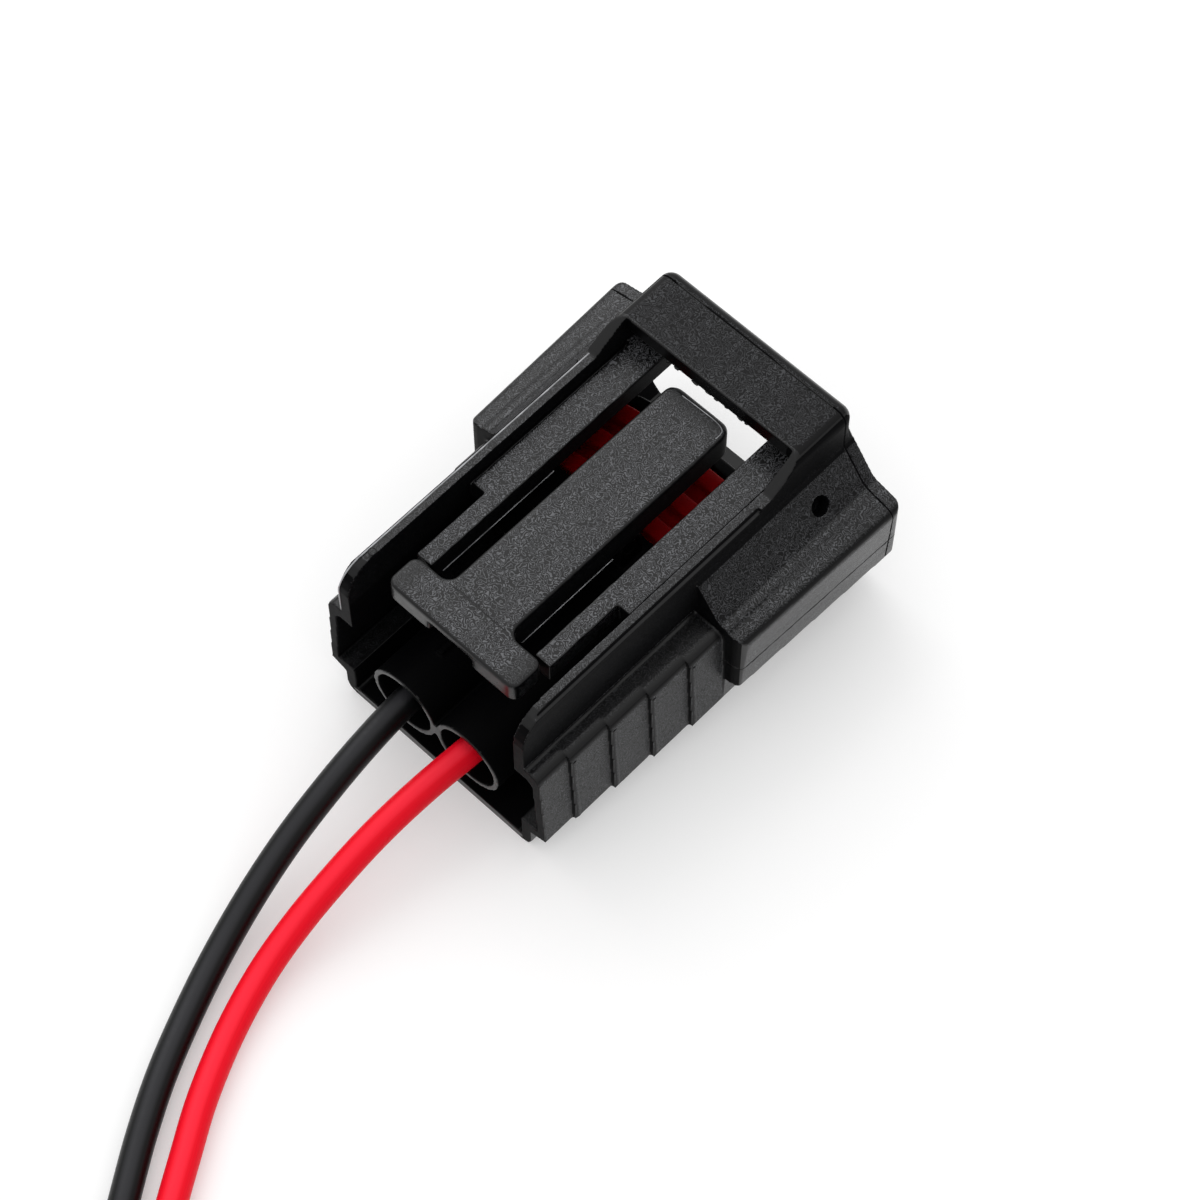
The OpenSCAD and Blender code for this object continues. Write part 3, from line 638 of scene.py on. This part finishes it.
class PIGTAIL_OT_stage(bpy.types.Operator):
    """Puts in the camera, the floor and the light"""
    bl_idname = "pigtail.stage"
    bl_label = "Stage"

    def execute(self, context):
        scene = context.scene
        scene.view_settings.view_transform = "Standard"
        self.camera(scene)
        self.floor(scene)
        self.light(scene)
        return {"FINISHED"}

    def camera(self, scene):
        data = bpy.data.cameras.new("camera")
        data.lens = LENS
        data.sensor_width = SENSOR
        data.clip_start = CLIP_START
        camera = bpy.data.objects.new("camera", data)
        camera.location = Vector(CAMERA_AT) * MM
        target = Vector(CAMERA_TARGET) * MM
        camera.rotation_euler = (target - camera.location).to_track_quat("-Z", "Y").to_euler()
        scene.collection.objects.link(camera)
        scene.camera = camera

    def floor(self, scene):
        """A white card that the camera sees as white and that keeps the part's shadow."""
        mesh = bpy.data.meshes.new("floor")
        corners = [(x * FLOOR_HALF, y * FLOOR_HALF, 0) for x, y in ((-1, -1), (1, -1), (1, 1), (-1, 1))]
        mesh.from_pydata(corners, [], [(0, 1, 2, 3)])
        floor = bpy.data.objects.new("floor", mesh)
        floor.location.z = -FLOOR_SINK
        scene.collection.objects.link(floor)
        material, tree = new_material("white_card")
        ray = add_node(tree, "LightPath").node.outputs
        seen = add_node(tree, "Math", {0: ray["Is Camera Ray"], 1: ray["Is Glossy Ray"]}, operation="MAXIMUM")
        through = add_node(tree, "Math", {0: seen, 1: ray["Is Transmission Ray"]}, operation="MAXIMUM")
        lift = add_node(tree, "Math", {0: through, 1: FLOOR_LIFT}, operation="MULTIPLY")
        card = add_node(tree, "BsdfDiffuse", {"Color": colours().floor})
        glow = add_node(tree, "Emission", {"Strength": lift})
        add_node(tree, "OutputMaterial", {0: add_node(tree, "AddShader", {0: card, 1: glow})})
        mesh.materials.append(material)

    def light(self, scene):
        """One soft lamp from the left and a sky that is brightest above it."""
        data = bpy.data.lights.new("key", "AREA")
        data.size = LAMP_SIZE
        data.energy = LAMP_POWER
        lamp = bpy.data.objects.new("key", data)
        lamp.location = LAMP_AT
        lamp.rotation_euler = (-lamp.location).to_track_quat("-Z", "Y").to_euler()
        scene.collection.objects.link(lamp)
        world = bpy.data.worlds.new("studio")
        tree = empty_tree(world)
        way = add_node(tree, "TexCoord", output="Generated")
        lean = add_node(tree, "VectorMath", {0: way, 1: SKY_LEAN}, "Value", operation="DOT_PRODUCT")
        level = add_node(tree, "MapRange", {0: lean, 1: -0.3, 2: 1.0, 3: SKY_LOW, 4: SKY_HIGH})
        add_node(tree, "OutputWorld", {0: add_node(tree, "Background", {0: (1, 1, 1, 1), 1: level})})
        scene.world = world


class PIGTAIL_OT_wires(bpy.types.Operator):
    """Lays the two insulated wires with their twisted bare strands"""
    bl_idname = "pigtail.wires"
    bl_label = "Wires"

    def execute(self, context):
        c = colours()
        copper = drawn_metal("bare_drawn_copper", c.copper, 0.25, 0.4, 0.05)
        black = extruded_pvc("black_extruded_pvc", c.black_wire, c.black_highlight, 0.2)
        red = extruded_pvc("red_extruded_pvc", c.red_wire, c.red_highlight, 0.1)
        self.lead("black", BLACK_LEAD, BLACK_BEND_R, BLACK_BEND_STEPS, black, copper)
        self.lead("red", RED_LEAD, RED_BEND_R, RED_BEND_STEPS, red, copper)
        return {"FINISHED"}

    def lead(self, name, points, bend_r, steps, insulation, copper):
        """One wire from its crimp to its stripped end: the route, a bend back on the floor and a tail."""
        turns = [math.radians(BEND_START - i * BEND_STEP) for i in range(steps + 1)]
        bend = [(BEND_CENTRE[0] + bend_r * math.cos(a), BEND_CENTRE[1] + bend_r * math.sin(a), REST_Z)
                for a in turns]
        heading = turns[-1] - math.pi / 2
        ahead = Vector((math.cos(heading), math.sin(heading), 0))
        end = Vector(bend[-1]) + TAIL_LEN * ahead
        path = smooth_path([*points, *bend, end])
        diameter = sizes().wire_d
        work = bmesh.new()
        add_tube(work, path, diameter / MM / 2, WIRE_SIDES, work.loops.layers.uv.new("drawn"))
        wire = show(name + "_wire_insulation", finished(work), [insulation], "connector",
                    name + "_insulation", name + "_wire")
        inner_x = points[0][0]
        held = Vector((inner_x, INSULATION_Y - STRAND_HELD, WAY_Z))
        crimped = Vector((inner_x, STRAND_FRONT_Y, WAY_Z))
        work = bmesh.new()
        draw = random.Random(SEED + steps)
        self.bundle(work, held, crimped, draw, 0)
        self.bundle(work, end - STRAND_HELD * ahead, end + STRIP_LEN * ahead, draw, RAGGED)
        strands = show(name + "_strands", finished(work), [copper], "connector",
                       "copper_strand", name + "_conductor")

    def bundle(self, work, start, end, draw, ragged):
        """Twisted strands: one in the middle, six round it and twelve outside."""
        strand = sizes().strand_d / MM
        lay = sizes().strand_lay / MM
        along = (end - start).normalized()
        side = along.orthogonal().normalized()
        up = along.cross(side)
        span = (end - start).length
        for layer, count in enumerate(STRAND_LAYERS):
            for k in range(count):
                reach = span - draw.uniform(0, ragged)
                path = []
                for i in range(STRAND_STEPS + 1):
                    t = reach * i / STRAND_STEPS
                    a = 2 * math.pi * (k / count + t / lay)
                    path.append(start + along * t + layer * strand * (math.cos(a) * side + math.sin(a) * up))
                add_tube(work, path, strand / 2, STRAND_SIDES)


class PIGTAIL_OT_housing(bpy.types.Operator):
    """Moulds the housing with its rounded edges, parting lines and flash"""
    bl_idname = "pigtail.housing"
    bl_label = "Housing"

    def execute(self, context):
        s = sizes()
        work = opened(moulded_mesh("housing", s.housing_cell, EDGE_ROUNDS, s.housing_faces))
        width, depth = s.seam_width / MM, s.seam_depth / MM
        add_groove(work, (0, SEAM_Y, 0), (0, 1, 0), width, depth, on_hood_outside)
        add_groove(work, (0, 0, WING_SEAM_Z), (0, 0, 1), width, depth, on_wing)
        self.round_bridge(work)
        self.marks(work)
        mesh = finished(work, True)
        finishes = [spark_eroded_pbt(name, finish, HOUSING_CALM) for name, finish in (
            ("spark_eroded_black_pbt", GRAINED), ("shaded_black_pbt", SHADED),
            ("spark_eroded_black_pbt_flank", SOFTER))]
        show("moulded_housing", mesh, finishes, "connector", "housing_plastic", "housing")
        # Painted shade: faces in shadow take the darker, duller copy; the flank, grip steps and bridge take
        # the less shiny finish
        for face in mesh.polygons:
            p = face.center / MM
            face.material_index = 1 if is_shaded(p, face.normal) else 2 if is_softer(p, face.normal) else 0
        # Flash hair lines whose pale colour is a painted highlight on the edges they run along
        work = bmesh.new()
        self.flash(work)
        highlighted = thin_flash("pbt_flash_painted_highlight")
        show("housing_flash", finished(work), [highlighted], "connector", "housing_plastic")
        return {"FINISHED"}

    def round_bridge(self, work):
        """Rounds the front corners and front edge of the bridge, less and less down the walls below it."""
        start = Vector((BRIDGE_X, FRONT_Y, BRIDGE_TOP_Z)) - BRIDGE_R * Vector((1, 1, 1))
        middles = [(face, face.calc_center_median()) for face in work.faces]
        faces = [face for face, p in middles if p.y > start.y and p.z > BRIDGE_FOOT_Z]
        edges = [edge for face in faces for edge in face.edges]
        verts = [vert for face in faces for vert in face.verts]
        geom = list(dict.fromkeys([*faces, *edges, *verts]))
        for share in (0.0, 0.4, 0.7, 0.9):
            reach = start + share * BRIDGE_R * Vector((1, 1, 1))
            for way in ((1, 0, 0), (-1, 0, 0), (0, 1, 0), (0, 0, 1)):
                point = [w * r for w, r in zip(way, reach)]
                geom = cut_across(work, point, way, geom)["geom"]
        for vert in work.verts:
            place = (abs(vert.co.x), vert.co.y, vert.co.z)
            over = Vector([max(p - limit, 0) for p, limit in zip(place, start)])
            if over.y > 0 and vert.co.z > BRIDGE_FOOT_Z and over.length > BRIDGE_R:
                faded = min((vert.co.z - BRIDGE_FOOT_Z) / BRIDGE_FADE, 1)
                inward = over * (BRIDGE_R / over.length - 1) * faded
                vert.co += Vector((math.copysign(1, vert.co.x) * inward.x, inward.y, inward.z))

    def marks(self, work):
        """Crumbs under the bridge, an ejector pin's ring on the left guard, a raised mark on a wire tube and
        a rounded bead along each grip step."""
        draw = random.Random(SEED)
        for x in CRUMB_X:
            add_blob(work, draw, (x + draw.uniform(-0.2, 0.2), BRIDGE_Y, BRIDGE_LOW_Z + 0.1),
                     (draw.uniform(0.12, 0.4), draw.uniform(0.06, 0.14), 0.08))
        turns = [math.radians(a) for a in range(0, 361, 20)]
        ring = [Vector((PIN_MARK[0] + PIN_MARK_R * math.cos(a), PIN_MARK[1] + PIN_MARK_R * math.sin(a),
                        GUARD_TOP_Z)) for a in turns]
        add_tube(work, ring, 0.04, HAIR_SIDES)
        add_blob(work, draw, TUBE_MARK, (0.2, 0.55, 0.12))
        for i, step_y in enumerate(STEP_Y):
            x = SHELL_X + (i + 1) * STEP_OUT - BEAD_R + BEAD_PROUD
            y = step_y + BEAD_R - BEAD_SET
            for side in (-1, 1):
                ends = [(side * x, y, KEEL_Z + 0.1), (side * (x - 0.95 * SHELL_DRAFT), y, LEDGE_Z - 0.9)]
                add_tube(work, smooth_path(ends, 12), BEAD_R, 24)

    def flash(self, work):
        """Hair lines of flash along the left guard's outer edge and under the left rail, coloured pale as a
        painted highlight on these edges.
        """
        top_x, low_x = REBATE - FLANK_X, 0.03 - FLANK_X
        arc = [math.radians(a) for a in range(180, 89, -15)]
        rear = [(low_x + (top_x - low_x) * i / (len(arc) - 1),
                 GUARD_END_R - FRONT_Y + GUARD_END_R * math.cos(a),
                 GUARD_TOP_Z - GUARD_END_R + GUARD_END_R * math.sin(a)) for i, a in enumerate(arc)]
        front = [(top_x, -6, GUARD_TOP_Z), (top_x, BRIDGE_Y - 3, GUARD_TOP_Z)]
        add_hair(work, [(low_x, -FRONT_Y, LEDGE_Z + 0.3), *rear, *front], GUARD_HAIR_R)
        add_hair(work, [(-RAIL_X, y, RAIL_LOW_Z) for y in (-10, -5, 0.6)])


class PIGTAIL_OT_lever(bpy.types.Operator):
    """Moulds the latch lever with its sloped nose, the line before its pad and crumbs of flash"""
    bl_idname = "pigtail.lever"
    bl_label = "Latch lever"

    def execute(self, context):
        work = opened(moulded_mesh("latch_lever", sizes().lever_cell, LEVER_ROUNDS, LEVER_FACES))
        add_groove(work, (0, PAD_FRONT_Y, 0), (0, 1, 0), 0.2, 0.03, on_pad_line)
        self.slope_nose(work)
        draw = random.Random(SEED + 1)
        for x, reach in NOSE_CRUMBS:
            add_blob(work, draw, (x, LEVER_NOSE_Y - 0.02, LEVER_TOP_Z - 2.4), (reach, 0.1, 0.1))
        for x, y in PAD_SCARS:
            add_blob(work, draw, (x, y, LEVER_TOP_Z), (0.18, 0.06, 0.03))
        mesh = finished(work, True)
        finishes = [spark_eroded_pbt(name, finish, LEVER_CALM) for name, finish in (
            ("spark_eroded_black_pbt_lever", GRAINED), ("shaded_black_pbt_lever", SHADED))]
        show("moulded_lever", mesh, finishes, "latch", "lever_plastic", "latch_lever")
        # Painted shade: the arm's sides, down in the slots, take the darker, duller copy
        for face in mesh.polygons:
            face.material_index = int(on_arm_side(face.center / MM, face.normal))
        work = bmesh.new()
        # Painted highlight: a pale hair line along the nose's rounded edge; the flash under the arm's right
        # edge is coloured pale as a painted highlight too
        add_hair(work, [(x, y, LEVER_TOP_Z - 0.01) for x, y in NOSE_HIGHLIGHT_LINE])
        add_hair(work, [(ARM_X, y, ARM_LOW_Z) for y in (-10.2, -6, -1.5)])
        highlighted = thin_flash("pbt_lever_flash_painted_highlight")
        show("lever_flash", finished(work), [highlighted], "latch", "lever_plastic")
        return {"FINISHED"}

    def slope_nose(self, work):
        """Lowers a smooth band along the front of the lever's top."""
        for share in (1.0, 0.6, 0.3):
            cut_across(work, (0, LEVER_NOSE_Y - share * NOSE_BAND, 0), (0, 1, 0))
        for vert in work.verts:
            ahead = vert.co.y - LEVER_NOSE_Y + NOSE_BAND
            high = vert.co.z - LEVER_TOP_Z + NOSE_DEEP
            if ahead > 0 and high > 0:
                vert.co.z -= NOSE_DROP * ahead / NOSE_BAND * high / NOSE_DEEP


class PIGTAIL_OT_retainer(bpy.types.Operator):
    """Moulds the plate on the nose of the tower"""
    bl_idname = "pigtail.retainer"
    bl_label = "Front retainer"

    def execute(self, context):
        mesh = moulded_mesh("front_retainer", sizes().retainer_cell, EDGE_ROUNDS, RETAINER_FACES)
        mesh.transform(Matrix.Scale(MM, 4))
        mesh.shade_smooth()
        plate = spark_eroded_pbt("moulded_black_pbt_plate", SMOOTH_PLATE, RETAINER_CALM)
        show("moulded_retainer", mesh, [plate], "connector", "retainer_plastic", "front_retainer")
        return {"FINISHED"}


class PIGTAIL_OT_seals(bpy.types.Operator):
    """Moulds the ring seal round the tower and a seal in each wire tube"""
    bl_idname = "pigtail.seals"
    bl_label = "Seals"

    def execute(self, context):
        c = colours()
        ribs = self.ribbed(HOOD_INNER_Y, SEAL_LEN, **RING_RIBS)
        ring = self.swept(ribs, TOWER_W - TOWER_H, TOWER_H / 2, (0, TOWER_Z), RING_STEPS)
        red = moulded_silicone("moulded_red_silicone", c.seal)
        show("ribbed_ring_seal", ring, [red], "connector", "seal_silicone", "ring_seal")
        brick = moulded_silicone("moulded_brick_silicone", c.wire_seal)
        lips = self.ribbed(WIRE_SEAL_BACK_Y, WIRE_SEAL_LEN, **WIRE_SEAL_RIBS)
        for side, x in (("left", -WAY_X), ("right", WAY_X)):
            plug = self.swept(lips, 0, 0, (x, WAY_Z), WIRE_SEAL_STEPS)
            show(side + "_ribbed_wire_seal", plug, [brick], "connector",
                 "wire_seal_silicone", side + "_wire_seal")
        return {"FINISHED"}

    def ribbed(self, start, span, rib_len, rib_set, low, high, inner, soft):
        """Closed section as pairs of the way along and the distance out: three soft ribs on a sleeve."""
        root, toe, ease = 0.05, 0.02, 0.3 * soft
        end = start + span
        pitch = (span - rib_len - 2 * rib_set) / 2
        section = []
        for i in range(3):
            a = start + rib_set + i * pitch
            b = a + rib_len
            if i > 0 or rib_set > 0:
                section += [(a - toe, low), (a, low + root)]
            section += [(a, high - soft), (a + ease, high - ease), (a + soft, high),
                        (b - soft, high), (b - ease, high - ease), (b, high - soft)]
            if i < 2 or rib_set > 0:
                section += [(b, low + root), (b + toe, low)]
        if rib_set > 0:
            section = [(start, low - soft), (start + ease, low - ease)] + section
            section += [(end - ease, low - ease), (end, low - soft)]
        return section + [(end, inner), (start, inner)]

    def swept(self, section, straight, radius, centre, steps):
        """The section swept round a slot shape, or round a circle where the slot has no length."""
        work = bmesh.new()
        rings = []
        for k in range(2 * steps):
            a = math.pi * (k + 0.5) / steps
            across, up = math.cos(a), math.sin(a)
            x = centre[0] + math.copysign(straight / 2, across)
            rings.append([work.verts.new((x + (radius + d) * across, y, centre[1] + (radius + d) * up))
                          for y, d in section])
        for k in range(len(rings)):
            here, after = rings[k], rings[(k + 1) % len(rings)]
            for i in range(len(section)):
                n = (i + 1) % len(section)
                work.faces.new((here[i], here[n], after[n], after[i]))
        return finished(work)


class PIGTAIL_OT_terminals(bpy.types.Operator):
    """Plates the two stamped terminals"""
    bl_idname = "pigtail.terminals"
    bl_label = "Terminals"

    def execute(self, context):
        tin = drawn_metal("stamped_tinned_brass", colours().tin, 0.3, 0.48, 0.12)
        for side in ("left", "right"):
            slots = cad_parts[side + "_terminal"].data.materials
            slots.clear()
            slots.append(tin)
        return {"FINISHED"}


class PIGTAIL_PT_panel(bpy.types.Panel):
    """Lists the sizes, the colours and the pieces"""
    bl_idname = "PIGTAIL_PT_panel"
    bl_label = "Connector pigtail"
    bl_space_type = "VIEW_3D"
    bl_region_type = "UI"
    bl_category = "Pigtail"

    def draw(self, context):
        for group in (context.scene.pigtail_sizes, context.scene.pigtail_colours):
            box = self.layout.box()
            for key in group.__annotations__:
                box.prop(group, key)
        for piece in PIECES:
            self.layout.operator(piece.bl_idname)


PIECES = (PIGTAIL_OT_stage, PIGTAIL_OT_wires, PIGTAIL_OT_housing, PIGTAIL_OT_lever, PIGTAIL_OT_retainer,
          PIGTAIL_OT_seals, PIGTAIL_OT_terminals)
CLASSES = (PigtailSizes, PigtailColours, *PIECES, PIGTAIL_PT_panel)


def register():
    for cls in CLASSES:
        bpy.utils.register_class(cls)
    bpy.types.Scene.pigtail_sizes = PointerProperty(type=PigtailSizes)
    bpy.types.Scene.pigtail_colours = PointerProperty(type=PigtailColours)


def unregister():
    del bpy.types.Scene.pigtail_colours
    del bpy.types.Scene.pigtail_sizes
    for cls in reversed(CLASSES):
        bpy.utils.unregister_class(cls)


def main():
    register()
    bpy.ops.pigtail.stage()
    bpy.ops.pigtail.wires()
    bpy.ops.pigtail.housing()
    bpy.ops.pigtail.lever()
    bpy.ops.pigtail.retainer()
    bpy.ops.pigtail.seals()
    bpy.ops.pigtail.terminals()


if __name__ == "__main__":
    main()
